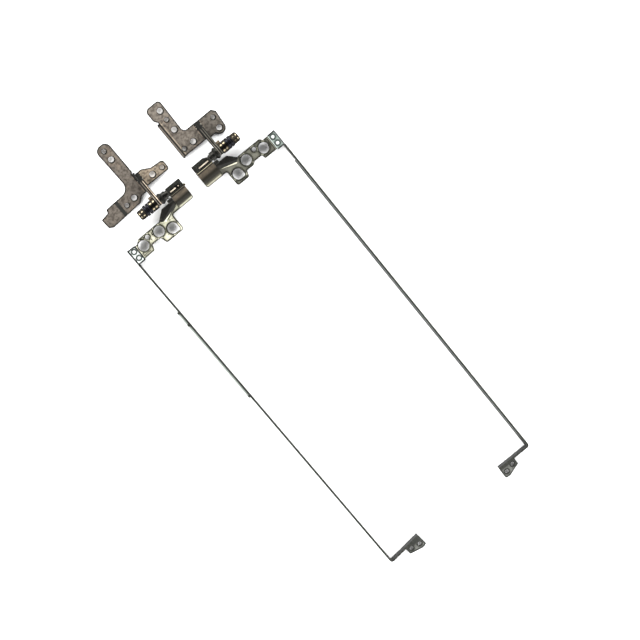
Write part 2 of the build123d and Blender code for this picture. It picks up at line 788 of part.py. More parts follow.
def rail_rivets():
    """Two rivets with dished heads that hold the rail's foot to the lid bracket."""
    rivets = []
    for x, y in RIVET_HOLES:
        shank = Pos(x, y, (LID_LIFT + RAIL_H) / 2) * Cylinder(RIVET_R, RAIL_H - LID_LIFT)
        head = Pos(x, y, RAIL_H + RIVET_HEAD_H / 2) * Cylinder(RIVET_HEAD_R, RIVET_HEAD_H)
        head = chamfer(head.edges().group_by(Axis.Z)[-1], RIVET_HEAD_H / 3)
        dimple = Pos(x, y, RAIL_H + RIVET_HEAD_H) * Cylinder(
            RIVET_DIMPLE_R, 2 * RIVET_DIMPLE_DEPTH
        )
        rivets.append((shank + head - dimple).solid())
    return Compound(children=rivets)


# Assembly


def hinge(side):
    """All pieces of one hinge in its own frame, by plain name."""
    if side == "left":
        base, wing, lid = left_base_bracket(), left_wing_bracket(), left_lid_bracket()
    else:
        base, wing, lid = right_base_bracket(), right_wing_bracket(), right_lid_bracket()
    return {
        "base_bracket": base,
        "wing_bracket": wing,
        "tab_washer": tab_washer(),
        "shaft": shaft(),
        "keyed_washer": keyed_washer(),
        "spring_washers": spring_washers(),
        "lock_nut": lock_nut(),
        "friction_washer": friction_washer(),
        "stop_washer": stop_washer(),
        "lid_bracket": lid,
        "rail": rail(side),
        "rail_rivets": rail_rivets(),
    }


def hinge_pair():
    """Both hinges, with the origin under the middle of the pair's box."""
    pieces = {}
    for name, shape in hinge("left").items():
        pieces["left_" + name] = Pos(-EAR_SPACING / 2, 0, 0) * shape
    for name, shape in hinge("right").items():
        pieces["right_" + name] = Pos(EAR_SPACING / 2, 0, 0) * flip_x(shape)
    boxes = [shape.bounding_box() for shape in pieces.values()]
    middle_x = (min(box.min.X for box in boxes) + max(box.max.X for box in boxes)) / 2
    middle_y = (min(box.min.Y for box in boxes) + max(box.max.Y for box in boxes)) / 2
    shift = Pos(-middle_x, -middle_y, 0)
    print("moved by", round(-middle_x, 4), round(-middle_y, 4))
    return {name: shift * shape for name, shape in pieces.items()}


def main():
    os.makedirs("parts", exist_ok=True)
    for name, shape in hinge_pair().items():
        export_step(shape, f"parts/{name}.step")


main()
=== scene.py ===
"""Looks for the laptop hinge pair: materials, floor, sky and camera."""

import math

import bpy
from mathutils import Euler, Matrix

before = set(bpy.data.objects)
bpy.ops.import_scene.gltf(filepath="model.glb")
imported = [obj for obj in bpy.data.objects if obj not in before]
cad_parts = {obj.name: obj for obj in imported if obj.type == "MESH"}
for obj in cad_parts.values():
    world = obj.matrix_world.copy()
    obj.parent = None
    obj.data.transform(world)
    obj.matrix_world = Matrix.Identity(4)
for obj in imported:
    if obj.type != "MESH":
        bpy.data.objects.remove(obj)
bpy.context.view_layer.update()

MM = 0.001

# Lengths and places are in millimetres. For each hinge u is the distance along the shaft from the
# ears, growing towards the shaft's inner end, v is the distance from the shaft, positive towards
# the base brackets, and z is the height above the floor. Names in _U, _V and _Z are such places.

# Where the ears and the shafts lie
EAR_X = {"left": -18.85, "right": 19.75}
SHAFT_Y = 92.74

# Stamped plates, where u counts to both sides of the ears. Bend at an ear's foot: how far it runs,
# its upper end, where its dark line of painted shade ends, and the painted glint beside that line
BEND_V = (6.5, 18.1)
BEND_Z = 1.5
BEND_U = 1.5
BEND_GLINT_U = (1.65, 2.0)

# Ear: its lower end and outer face, which is painted dark as shade, the painted highlight line on it and
# that line's end, and its crest, painted dark as shade with light specks
EAR_Z = 2.9
EAR_U = 2.05
EAR_LINE_U = (0.38, 0.74)
EAR_LINE_END_V = {"left": 12.4, "right": 13.6}
CREST_U = 1.75
CREST_V = {"left": (12.65, 17.7), "right": (13.85, 17.7)}

# Step in the left base bracket, painted dark as shade on its steep face
STEP_U = (15.1, 16.8)

# Flange of the right base bracket: its end, the glint in its bend, the shaded wall, the lit rim,
# and the dark tips, which lie before the first and behind the second place
FLANGE_END_V = 28.4
FLANGE_GLINT_U = (13.15, 13.7)
FLANGE_WALL_U = (13.7, 14.6)
FLANGE_RIM_U = (14.6, 15.26)
FLANGE_RIM_Z = 3.4
FLANGE_TIPS_U = 14.15
FLANGE_TIPS_V = (8.4, 26.9)

# Holes of the stamped plates and of the cast plates, as u, v and radius
PLATE_HOLES = {
    "left_base": [(4.5, 34.8, 1.05), (4.3, 29.6, 1.4), (12.7, 8.0, 1.05), (7.7, 8.6, 1.4)],
    "left_wing": [(6.4, 11.7, 1.4), (12.2, 11.4, 1.05)],
    "right_base": [
        (9.8, 32.7, 1.4), (10.1, 27.5, 1.05), (10.2, 21.5, 1.4), (12.3, 11.4, 1.05), (6.7, 11.4, 1.4),
    ],
    "right_wing": [(8.2, 14.3, 1.05), (7.5, 8.5, 1.4)],
}
LID_HOLES = {
    "left": [(-19.1, -12.2, 2.7), (-8.9, -11.5, 2.7), (-2.7, -14.6, 2.7), (-15.1, -10.0, 1.1)],
    "right": [(-17.9, -12.8, 2.7), (-7.5, -11.9, 2.7), (-0.1, -14.6, 2.7), (-13.7, -10.3, 1.1)],
}

# How far a hole's own edge reaches, and the dark crescents painted as shadows at the holes: how far they
# reach and how much they are moved to one side
HOLE_EDGE = 0.825
PLATE_CRESCENT = 0.42
PLATE_SHIFT = {"base": (-0.1, -0.25), "wing": (0.1, -0.25)}
LID_CRESCENT = 0.2
LID_SHIFT = {"left": (-0.18, 0.28), "right": (0.18, 0.28)}

# Tab of the tab washer, and how far a face points up or down, from 0 to 1, where the bronze is painted as a
# highlight; other faces are painted dark as shade
WASHER_TAB_V = 3.1
BRONZE_HIGHLIGHT_TILT = (0.68, 0.96)

# Painted highlights on a lock nut's facets, as patches: their places as u and as the distance to both sides
# of the shaft, and their strength
NUT_HIGHLIGHTS = (((-9.62, -8.72), (0.85, 1.3)), ((-11.12, -10.52), (0.5, 1.4)))
NUT_HIGHLIGHT_STRENGTHS = {"left": (1.0, 1.0), "right": (0.3, 1.0)}

# Painted highlight on the shaft's tongue in the window
TONGUE_U = {"left": ((7.37, 10.77), (12.07, 12.67)), "right": ((7.37, 13.37),)}
TONGUE_V = (-0.72, -0.06)

# Lid bracket: tops of the plate and of the box, the raised rims, the neck's end and where its black
# turns brown, the shelf, and the hood's start
LID_TOP = 3.0
BOX_TOP = 7.7
RIMS_Z = (2.84, 3.2)
NECK_END_U = 6.5
NECK_BROWN_U = (2.5, 6.5)
SHELF_U = 3.2
SHELF_V = -4.5
HOOD_U = 6.27

# How far the ragged borders on the lid brackets wander
DRIFT = 0.8

# Painted highlight in a wedge on the neck's ramp: its rise over the plate at the ears, its end and how soft
# that is, how steeply its top falls, as a share of the rise for each millimetre, and its share of the drift
NECK_HIGHLIGHT = {"left": (0.5, 2.2, 0.8), "right": (0.34, 4.8, 0.6)}
NECK_HIGHLIGHT_FALL = 0.14
NECK_HIGHLIGHT_DRIFT = 0.2

# Hood: where its brown patch runs over into the slope, the line of painted shade and the painted highlight
# line at the box
SLOPE_V = (-4.2, -5.9)
BOX_EDGE_V = (-2.9, -2.35)
EDGE_LINE_V = (-2.3, -1.98)

# Marks of the left lid bracket: two spotted areas and their strength and a scratch, which are wear, the toe
# of the ramp, which carries the painted highlight, the slanting ridge, painted as a line of shade, with its
# start, slope, end and half width, and two outer edges painted dark as shade
SPOTTED = (((-20.5, -11.8), (-13.2, -8.4), 1.0), ((-7.2, 1.0), (-16.4, -9.6), 0.6))
SCRATCH_U = (-21.9, -17.7)
SCRATCH_V = (-16.2, -15.75)
SCRATCH_STRENGTH = 0.8
TOE_U = 0.75
TOE_Z = 3.25
RIDGE_START = (-2.4, -10.0)
RIDGE_SLOPE = 0.392
RIDGE_END_U = 5.0
RIDGE_HALF = 0.28
LOWER_EDGE_V = -17.8
CORNER_U = (0.95, 1.55)
CORNER_V = -10.75

# Rail: the lip and the ledge beside the strip, the foot with its line or its rim, the arm at the
# far end, where the sheen ends, and the screw tab
LIP_U = -27.3
LEDGE_U = -26.3
LIP_Z = 1.05
FOOT_V = -18.4
FOOT_LINE_U = (-22.98, -22.66)
FOOT_LINE_V = (-17.4, -9.7)
FOOT_RIM_U = -26.4
FOOT_RIM_V = -17.325
ARM_V = -209.5
DULL_V = -206.0
TAB_V = -218.4
TAB_Z = 1.2

# Rim of the rivet heads
RIVET_RIM_Z = 4.25

# Noises of the stamped plates: features in a millimetre, detail and roughness
SHEET_NOISES = {
    "cloud": (0.16, 3.0, 0.6), "mottle": (0.55, 3.0, 0.65),
    "grain": (1.7, 3.0, 0.7), "sand": (0.85, 2.0, 0.55),
}

# Mottling of the stamped plates: a noise, the values between which it sets in, the strength, and
# the tone that it brings
SHEET_LAYERS = (
    ("mottle", 0.40, 0.60, 1.0, "light"),
    ("cloud", 0.52, 0.68, 0.75, "warm"),
    ("mottle", 0.50, 0.40, 0.45, "dark"),
    ("grain", 0.52, 0.68, 0.8, "dark"),
    ("grain", 0.44, 0.30, 0.7, "light"),
    ("sand", 0.52, 0.64, 0.7, "light"),
    ("sand", 0.47, 0.36, 0.7, "dark"),
)

# Tones of the stamped plates, and of the painted highlight lines on their ears
SHEET_TONES = {
    "left_base": {
        "dark": (0.045, 0.038, 0.031), "mid": (0.083, 0.071, 0.060), "light": (0.125, 0.109, 0.092),
        "warm": (0.19, 0.15, 0.115), "ear": (0.17, 0.147, 0.118),
    },
    "right_base": {
        "dark": (0.060, 0.051, 0.042), "mid": (0.112, 0.097, 0.081), "light": (0.17, 0.149, 0.125),
        "warm": (0.27, 0.215, 0.165), "ear": (0.12, 0.11, 0.092),
    },
    "left_wing": {
        "dark": (0.070, 0.057, 0.043), "mid": (0.185, 0.151, 0.112), "light": (0.28, 0.232, 0.175),
        "warm": (0.37, 0.29, 0.21), "ear": (0.54, 0.445, 0.335),
    },
    "right_wing": {
        "dark": (0.048, 0.042, 0.035), "mid": (0.086, 0.076, 0.064), "light": (0.125, 0.111, 0.094),
        "warm": (0.165, 0.14, 0.112), "ear": (0.107, 0.10, 0.082),
    },
}
# Painted shade: near black for walls, edges, bends, the flange's wall and tips, the washers' edges and the
# crescents at holes; then the ears' faces and the left step painted dark as shade, a dimmer tone in the
# ears' painted highlight lines, and the flange's painted glint
SHADE_BLACK = (0.012, 0.012, 0.011)
EAR_SHADE = (0.014, 0.013, 0.011)
EAR_LINE_DIM = (0.05, 0.045, 0.036)
STEP_SHADE = (0.011, 0.0115, 0.010)
FLANGE_GLINT = (0.42, 0.35, 0.27)

# Tones of the lid brackets: the plate and its shading, the raised rims, the outlines, the painted highlight
# on the neck's ramp and the painted highlight line at the box. The left bracket's tones are a paler copy of
# the right one's, painted as if it caught more light
LID_TONES = {
    "left": {
        "plate": (0.62, 0.61, 0.47), "shade": (0.38, 0.37, 0.26), "rim": (0.69, 0.68, 0.52),
        "line": (0.016, 0.016, 0.011), "painted_highlight": (0.57, 0.56, 0.43), "edge_highlight": (0.10, 0.09, 0.062),
    },
    "right": {
        "plate": (0.155, 0.153, 0.125), "shade": (0.085, 0.084, 0.067), "rim": (0.27, 0.268, 0.21),
        "line": (0.018, 0.018, 0.014), "painted_highlight": (0.46, 0.44, 0.34), "edge_highlight": (0.44, 0.40, 0.27),
    },
}
NECK_BROWN = (0.030, 0.028, 0.023)
BOX_EDGE_SHADE = (0.014, 0.013, 0.01)

# Single tones of the washers, the rails and the rivets; the first is painted shade on the washers' faces,
# and the foot's and tab's borders are painted shade on walls and edges
BRONZE_SHADE = (0.02, 0.017, 0.012)
WASHER_TAB_TONE = (0.62, 0.50, 0.36)
LIP_TONE = (0.40, 0.43, 0.40)
LEDGE_TONE = (0.045, 0.047, 0.043)
FOOT_BORDER = (0.009, 0.011, 0.010)
FOOT_LINES = {"left": None, "right": (0.52, 0.58, 0.54)}
TAB_BORDER = (0.028, 0.029, 0.026)
RIVET_RING = (0.035, 0.045, 0.04)

# Two-tone tables: a tone, the one that it gives way to, and the values between which that sets in. The
# crest's and the slope's are painted shade, the nut's straw tones and the tongue's are painted highlights,
# and the others are the pieces' own mottling and wear
CREST_SHADE_TONES = ((0.003, 0.003, 0.003), (0.30, 0.285, 0.24), 0.52, 0.60)
BRONZE_TONES = ((0.19, 0.158, 0.105), (0.03, 0.024, 0.016), 0.45, 0.62)
NUT_TONES = ((0.004, 0.0036, 0.003), (0.020, 0.017, 0.012), 0.45, 0.7)
NUT_HIGHLIGHT_TONES = ((0.17, 0.145, 0.10), (0.06, 0.05, 0.035), 0.45, 0.65)
SHAFT_TONES = ((0.016, 0.016, 0.015), (0.08, 0.076, 0.066), 0.45, 0.75)
TONGUE_HIGHLIGHT_TONES = ((1.0, 0.88, 0.70), (0.85, 0.70, 0.52), 0.55, 0.85)
NECK_TONES = ((0.007, 0.007, 0.006), (0.020, 0.019, 0.017), 0.45, 0.75)
SHELF_TONES = ((0.075, 0.075, 0.068), (0.035, 0.035, 0.031), 0.4, 0.7)
BOX_TONES = ((0.008, 0.008, 0.007), (0.060, 0.060, 0.050), 0.52, 0.72)
BROWN_TONES = ((0.073, 0.057, 0.040), (0.038, 0.031, 0.022), 0.3, 0.7)
SLOPE_SHADE_TONES = ((0.012, 0.011, 0.008), (0.075, 0.071, 0.048), 5.4, 3.7)
STRIP_TONES = ((0.019, 0.0195, 0.017), (0.034, 0.035, 0.031), 0.35, 0.7)
WALL_TONES = ((0.050, 0.052, 0.048), (0.082, 0.084, 0.077), 0.35, 0.7)
ARM_TONES = ((0.010, 0.010, 0.0105), (0.030, 0.030, 0.031), 0.35, 0.7)
TAB_TONES = ((0.075, 0.077, 0.07), (0.15, 0.152, 0.14), 0.35, 0.7)
RIVET_TONES = ((0.92, 0.95, 0.93), (0.55, 0.62, 0.58), 0.46, 0.78)
FOOT_TONES = {
    "left": ((0.86, 0.92, 0.88), (0.46, 0.54, 0.50), 0.46, 0.78),
    "right": ((0.235, 0.285, 0.255), (0.15, 0.19, 0.168), 0.46, 0.78),
}

# Floor
FLOOR_HALF_M = 3.0
FLOOR_TONE = (0.92, 0.92, 0.92, 1)

# Camera, as it stood when the photograph was taken: place, turn in degrees, and the distances in
# metres between which it sees
CAMERA_POS = (-20.66, 107.98, 641.24)
CAMERA_TURN = (-6.178, -8.077, -39.38)
CAMERA_LENS = 73.125
CAMERA_SENSOR = 36
CAMERA_REACH_M = (0.01, 20)

# Sky brightness in a bright band and elsewhere, and the band's lower and upper edge as heights
# on a sphere of radius 1; the band is brighter on the side of the base brackets
SKY_BAND = 9.6
SKY_REST = 0.30
SKY_EDGES = (0.26, 0.61)
SKY_SOFT = 0.06
SKY_LEAN = 0.3


# Node helpers


class Look:
    """A procedural material; positions come from the object's own coordinates, in millimetres."""

    def __init__(self, name, metallic=0.0, specular=0.5):
        self.material = bpy.data.materials.new(name)
        self.material.use_nodes = True
        self.tree = self.material.node_tree
        self.tree.nodes.clear()
        self.shader = self.node("ShaderNodeBsdfPrincipled")
        self.shader.inputs["Metallic"].default_value = metallic
        self.shader.inputs["Specular IOR Level"].default_value = specular
        out = self.node("ShaderNodeOutputMaterial")
        self.tree.links.new(self.shader.outputs["BSDF"], out.inputs["Surface"])
        coords = self.node("ShaderNodeTexCoord")
        scale = self.node("ShaderNodeVectorMath", operation="MULTIPLY")
        scale.inputs[1].default_value = (1 / MM, 1 / MM, 1 / MM)
        self.tree.links.new(coords.outputs["Object"], scale.inputs[0])
        self.place = scale.outputs[0]
        split = self.node("ShaderNodeSeparateXYZ")
        self.tree.links.new(self.place, split.inputs[0])
        self.x, self.y, self.z = split.outputs
        normal = self.node("ShaderNodeSeparateXYZ")
        self.tree.links.new(coords.outputs["Normal"], normal.inputs[0])
        self.normal_z = normal.outputs[2]

    def node(self, kind, **settings):
        made = self.tree.nodes.new(kind)
        for key, value in settings.items():
            setattr(made, key, value)
        return made

    def feed(self, socket, value):
        if hasattr(value, "is_linked"):
            self.tree.links.new(value, socket)
        else:
            socket.default_value = value

    def math(self, operation, a, b=0.0):
        made = self.node("ShaderNodeMath", operation=operation)
        self.feed(made.inputs[0], a)
        self.feed(made.inputs[1], b)
        return made.outputs[0]

    def times(self, a, b):
        return self.math("MULTIPLY", a, b)

    def along(self, side):
        """Place u: distance along the shaft from the ears, growing towards the shaft's inner end."""
        if side == "left":
            return self.math("SUBTRACT", self.x, EAR_X[side])
        return self.math("SUBTRACT", EAR_X[side], self.x)

    def across(self):
        """Place v: distance from the shaft, positive towards the base brackets."""
        return self.math("SUBTRACT", self.y, SHAFT_Y)

    def noise(self, per_mm, detail, roughness=0.55, stretch=(1, 1, 1)):
        """Noise with about per_mm features in a millimetre."""
        vector = self.place
        if stretch != (1, 1, 1):
            scaled = self.node("ShaderNodeVectorMath", operation="MULTIPLY")
            self.tree.links.new(self.place, scaled.inputs[0])
            scaled.inputs[1].default_value = stretch
            vector = scaled.outputs[0]
        made = self.node("ShaderNodeTexNoise")
        self.tree.links.new(vector, made.inputs["Vector"])
        made.inputs["Scale"].default_value = per_mm
        made.inputs["Detail"].default_value = detail
        made.inputs["Roughness"].default_value = roughness
        return made.outputs["Fac"]

    # Masks, from 0 to 1

    def inverse(self, mask):
        return self.math("SUBTRACT", 1.0, mask)

    def either(self, a, b):
        return self.math("MAXIMUM", a, b)

    def both(self, *masks):
        """Product of masks."""
        product = masks[0]
        for mask in masks[1:]:
            product = self.times(product, mask)
        return product

    def ramp(self, value, low, high, start=0.0, end=1.0):
        """Smooth step from start to end while value goes from low to high."""
        made = self.node("ShaderNodeMapRange", interpolation_type="SMOOTHSTEP")
        self.feed(made.inputs["Value"], value)
        made.inputs["From Min"].default_value = low
        made.inputs["From Max"].default_value = high
        made.inputs["To Min"].default_value = start
        made.inputs["To Max"].default_value = end
        return made.outputs["Result"]

    def above(self, value, edge, soft=0.15):
        """1 where value lies above edge."""
        return self.ramp(value, edge - soft, edge + soft)

    def below(self, value, edge, soft=0.15):
        """1 where value lies below edge."""
        return self.ramp(value, edge + soft, edge - soft)

    def between(self, value, edges, soft=0.15):
        """1 where value lies between two edges."""
        return self.both(self.above(value, edges[0], soft), self.below(value, edges[1], soft))

    def discs(self, u, v, holes, growth, soft, shift=(0, 0)):
        """1 within the holes grown by growth and moved by shift."""
        mask = 0.0
        for hole_u, hole_v, radius in holes:
            a = self.math("SUBTRACT", u, hole_u + shift[0])
            b = self.math("SUBTRACT", v, hole_v + shift[1])
            squared = self.math("ADD", self.times(a, a), self.times(b, b))
            mask = self.either(mask, self.below(self.math("SQRT", squared), radius + growth, soft))
        return mask

    def steep(self, level=0.95, wall=0.7):
        """1 on walls and broken edges, 0 on level faces."""
        return self.ramp(self.math("ABSOLUTE", self.normal_z), level, wall)

    def outline(self, width_mm, light, dark):
        """1 along a piece's own sharp edges, 0 further in than width_mm."""
        made = self.node("ShaderNodeAmbientOcclusion", samples=8, inside=True, only_local=True)
        made.inputs["Distance"].default_value = width_mm * MM
        return self.ramp(made.outputs["AO"], light, dark)

    # Tones

    def mix(self, factor, a, b):
        made = self.node("ShaderNodeMix", data_type="RGBA")
        self.feed(made.inputs[0], factor)
        self.feed(made.inputs[6], (*a, 1) if isinstance(a, tuple) else a)
        self.feed(made.inputs[7], (*b, 1) if isinstance(b, tuple) else b)
        return made.outputs[2]

    def layer(self, tone, top, source, low, high, strength=1.0):
        """Lays top over tone, up to strength, while source goes from low to high."""
        return self.mix(self.ramp(source, low, high, 0.0, strength), tone, top)

    def varied(self, source, tones):
        """The tone of a two-tone table, which gives way to its second tone where source says."""
        tone, top, low, high = tones
        return self.layer(tone, top, source, low, high)

    # Shader

    def finish(self, colour, noise, rough, metallic=None, specular=None):
        """Sets the colour, a roughness that follows the noise, and what else varies."""
        sockets = {
            "Base Color": colour, "Roughness": self.ramp(noise, 0.3, 0.7, *rough),
            "Metallic": metallic, "Specular IOR Level": specular,
        }
        for name, value in sockets.items():
            if value is not None:
                self.feed(self.shader.inputs[name], value)

    def bump(self, height, depth_mm):
        made = self.node("ShaderNodeBump")
        made.inputs["Distance"].default_value = depth_mm * MM
        self.tree.links.new(height, made.inputs["Height"])
        self.tree.links.new(made.outputs["Normal"], self.shader.inputs["Normal"])


# Materials


def flange(look, u, v, mottle, tone, rim_tone):
    """Folded edge: a glint in its bend, shaded wall, dark tips and lit rim. Gives the rim's mask too."""
    run = look.below(v, FLANGE_END_V, soft=0.2)
    glint = look.both(look.between(u, FLANGE_GLINT_U, soft=0.1), run, look.ramp(mottle, 0.38, 0.5, 0.3))
    tone = look.mix(glint, tone, FLANGE_GLINT)
    tone = look.mix(look.both(look.between(u, FLANGE_WALL_U, soft=0.1), run), tone, SHADE_BLACK)
    inner, outer = FLANGE_RIM_U
    rim = look.both(look.above(u, inner, soft=0.1), look.below(u, outer, soft=0.06))
    rim = look.both(rim, look.above(look.z, FLANGE_RIM_Z, soft=0.1))
    tone = look.mix(rim, tone, rim_tone)
    first, second = FLANGE_TIPS_V
    tips = look.either(look.below(v, first, soft=0.2), look.above(v, second, soft=0.2))
    tips = look.both(tips, run, look.above(u, FLANGE_TIPS_U))
    return look.mix(tips, tone, SHADE_BLACK), rim


def plated_sheet(side, kind):
    """Stamped sheet with a mottled bronze-grey plating; painted shade darkens its edges, walls, bends and
    ears and lies in crescents at its holes, and painted highlights run along its bend lines and ears' edges.
    """
    name = f"{side}_{kind}"
    tones = SHEET_TONES[name]
    look = Look(f"{kind}_sheet_{side}", specular=0.1)
    u = look.math("ABSOLUTE", look.along(side))
    v = look.across()
    noises = {key: look.noise(*values) for key, values in SHEET_NOISES.items()}
    mottle, grain = noises["mottle"], noises["grain"]
    tone = tones["mid"]
    for key, low, high, strength, top in SHEET_LAYERS:
        tone = look.layer(tone, tones[top], noises[key], low, high, strength)

    # Bend: a line of painted shade in the fold, and a painted glint in the warm tone beside it
    bend = look.both(look.below(look.z, BEND_Z, soft=0.2), look.between(v, BEND_V, soft=0.2))
    glint = look.both(look.between(u, BEND_GLINT_U, soft=0.1), bend, look.ramp(mottle, 0.42, 0.52))
    tone = look.mix(glint, tone, tones["warm"])
    tone = look.mix(look.both(look.below(u, BEND_U, soft=0.1), bend), tone, SHADE_BLACK)

    # Ear: its outer face painted dark as shade, a painted highlight line along its edge that the grain dims
    # in places, and its crest painted dark as shade with light specks
    ear = look.both(look.above(look.z, EAR_Z, soft=0.3), look.below(u, EAR_U))
    line = look.both(ear, look.between(u, EAR_LINE_U, soft=0.1))
    line = look.both(line, look.below(v, EAR_LINE_END_V[side], soft=0.6))
    tone = look.mix(ear, tone, EAR_SHADE)
    tone = look.mix(line, tone, look.layer(tones["ear"], EAR_LINE_DIM, grain, 0.55, 0.4, 0.4))
    crest = look.both(look.below(u, CREST_U), look.between(v, CREST_V[side], soft=0.2))
    tone = look.mix(crest, tone, look.varied(look.noise(1.1, 2.0, 0.5), CREST_SHADE_TONES))

    lit = line
    # The left base bracket's step is painted dark as shade
    if name == "left_base":
        tone = look.mix(look.between(u, STEP_U, soft=0.1), tone, STEP_SHADE)
    if name == "right_base":
        tone, rim = flange(look, u, v, mottle, tone, tones["mid"])
        lit = look.either(line, rim)

    # Painted shade as dark borders on walls and edges, except on what is lit and at the holes, which have
    # light edges and painted shadows as dark crescents
    steep = look.steep()
    near = look.discs(u, v, PLATE_HOLES[name], HOLE_EDGE, soft=0.075)
    crescent = look.discs(u, v, PLATE_HOLES[name], PLATE_CRESCENT, soft=0.06, shift=PLATE_SHIFT[kind])
    border = look.both(look.either(steep, look.outline(0.9, 0.95, 0.80)), look.inverse(near))
    border = look.either(border, look.both(crescent, look.inverse(steep)))
    border = look.both(border, look.inverse(lit))
    tone = look.mix(look.both(near, steep), tone, tones["light"])
    tone = look.mix(border, tone, SHADE_BLACK)
    metallic = look.ramp(border, 0.0, 1.0, 0.4, 0.0)
    look.finish(tone, grain, (0.38, 0.55), metallic, specular=look.ramp(border, 0.0, 1.0, 0.1, 0.0))
    look.bump(grain, 0.02)
    return look.material


def bronze():
    """Bronze friction washers: the bronze is painted as a highlight on faces of a middle tilt, and dark as
    shade elsewhere and on the edges.
    """
    look = Look("bronze", metallic=1.0)
    wear = look.noise(0.9, 4.0, 0.65)
    # Bronze painted as a highlight only on faces of a middle tilt; elsewhere painted dark as shade
    highlighted = look.between(look.math("ABSOLUTE", look.normal_z), BRONZE_HIGHLIGHT_TILT, soft=0.04)
    tone = look.mix(highlighted, BRONZE_SHADE, look.varied(wear, BRONZE_TONES))
    tone = look.mix(look.outline(0.5, 0.96, 0.84), tone, SHADE_BLACK)
    # The tab's walls are painted dark as shade
    tab = look.above(look.across(), WASHER_TAB_V, soft=0.1)
    tone = look.mix(tab, tone, look.mix(look.steep(), WASHER_TAB_TONE, SHADE_BLACK))
    look.finish(tone, wear, (0.16, 0.34))
    look.bump(look.noise(3.0, 2.0), 0.01)
    return look.material


def plated_nut(side):
    """Lock nut, dark, with painted highlights on its facets as patches in the straw colour of its plating.
    """
    look = Look(f"plated_nut_{side}", metallic=1.0)
    wear = look.noise(1.1, 4.0, 0.7)
    u = look.along(side)
    off = look.math("ABSOLUTE", look.across())
    # Painted highlights: straw-coloured patches where the facets catch the light
    highlighted = 0.0
    for (patch_u, patch_off), strength in zip(NUT_HIGHLIGHTS, NUT_HIGHLIGHT_STRENGTHS[side]):
        patch = look.both(look.between(u, patch_u, soft=0.06), look.between(off, patch_off, soft=0.08))
        highlighted = look.either(highlighted, look.times(patch, strength))
    tone = look.mix(highlighted, look.varied(wear, NUT_TONES), look.varied(wear, NUT_HIGHLIGHT_TONES))
    look.finish(tone, wear, (0.18, 0.36))
    look.bump(look.noise(2.5, 2.0), 0.012)
    return look.material


def dark_steel(name, tone, varied, shine):
    """Blackened or oiled steel with a turned grain; shine is the roughness of its smoothest parts."""
    look = Look(name, metallic=0.9)
    streak = look.noise(1.4, 3.0, 0.6, (0.6, 4, 4))
    look.finish(look.layer(tone, varied, streak, 0.5, 0.75, 0.9), streak, (shine, shine + 0.16))
    look.bump(streak, 0.008)
    return look.material


def shaft_steel(side):
    """Dark oiled steel, with a painted highlight, bright and not metallic, on the tongue that the window
    shows.
    """
    look = Look(f"shaft_steel_{side}", metallic=0.5)
    u = look.along(side)
    streak = look.noise(1.5, 3.0, 0.6, (0.4, 3, 3))
    shown = 0.0
    for part_u in TONGUE_U[side]:
        shown = look.either(shown, look.between(u, part_u))
    # Painted highlight on the tongue where the window shows it
    tongue_highlight = look.both(shown, look.between(look.across(), TONGUE_V, soft=0.06))
    tone = look.mix(tongue_highlight, look.varied(streak, SHAFT_TONES), look.varied(streak, TONGUE_HIGHLIGHT_TONES))
    look.finish(tone, streak, (0.24, 0.4), metallic=look.inverse(tongue_highlight))
    look.bump(streak, 0.008)
    return look.material


def cast_plate(look, u, v, cloud, grain, tones, varied):
    """Clouded plate with brighter rims and painted shade on its undersides; with spots and a scratch of wear
    if the flag asks for them.
    """
    tone = look.layer(tones["plate"], tones["shade"], cloud, 0.42, 0.7, 0.6)
    tone = look.layer(tone, tones["shade"], grain, 0.54, 0.72, 0.6)
    # Undersides painted darker as shade
    tone = look.layer(tone, tones["shade"], look.normal_z, -0.4, -0.8, 0.7)
    tone = look.mix(look.between(look.z, RIMS_Z, soft=0.08), tone, tones["rim"])
    if varied:
        zones = 0.0
        for zone_u, zone_v, strength in SPOTTED:
            zone = look.both(look.between(u, zone_u, soft=0.5), look.between(v, zone_v, soft=0.4))
            zones = look.either(zones, look.times(zone, strength))
        spots = look.ramp(look.noise(1.1, 1.0, 0.5), 0.57, 0.62)
        tone = look.mix(look.both(spots, zones), tone, tones["line"])
        scratch = look.both(look.between(u, SCRATCH_U, soft=0.1), look.between(v, SCRATCH_V, soft=0.1))
        tone = look.mix(look.times(scratch, SCRATCH_STRENGTH), tone, tones["line"])
    return tone


def cast_hood(look, v, cloud, drift, tones):
    """Box, a line of painted shade and a painted highlight line at its edge, brown patch, and the slope,
    painted darker higher up as shade, that ends in a painted highlight at its foot.
    """
    brown, slope = look.varied(cloud, BROWN_TONES), look.varied(look.z, SLOPE_SHADE_TONES)
    tone = look.layer(brown, slope, look.math("ADD", v, drift), *SLOPE_V)
    # A line of painted shade at the box's edge, then a painted highlight line on the box's top
    tone = look.mix(look.between(v, BOX_EDGE_V, soft=0.1), tone, BOX_EDGE_SHADE)
    box = look.varied(look.noise(2.2, 3.0, 0.6), BOX_TONES)
    tone = look.mix(look.above(look.z, BOX_TOP - 0.25, soft=0.05), tone, box)
    edge_highlight = look.both(look.between(v, EDGE_LINE_V, soft=0.07), look.above(look.z, BOX_TOP - 0.425, soft=0.075))
    tone = look.mix(edge_highlight, tone, tones["edge_highlight"])
    # The hood's foot carries the painted highlight
    return look.mix(look.below(look.z, LID_TOP + 0.375, soft=0.075), tone, tones["painted_highlight"])


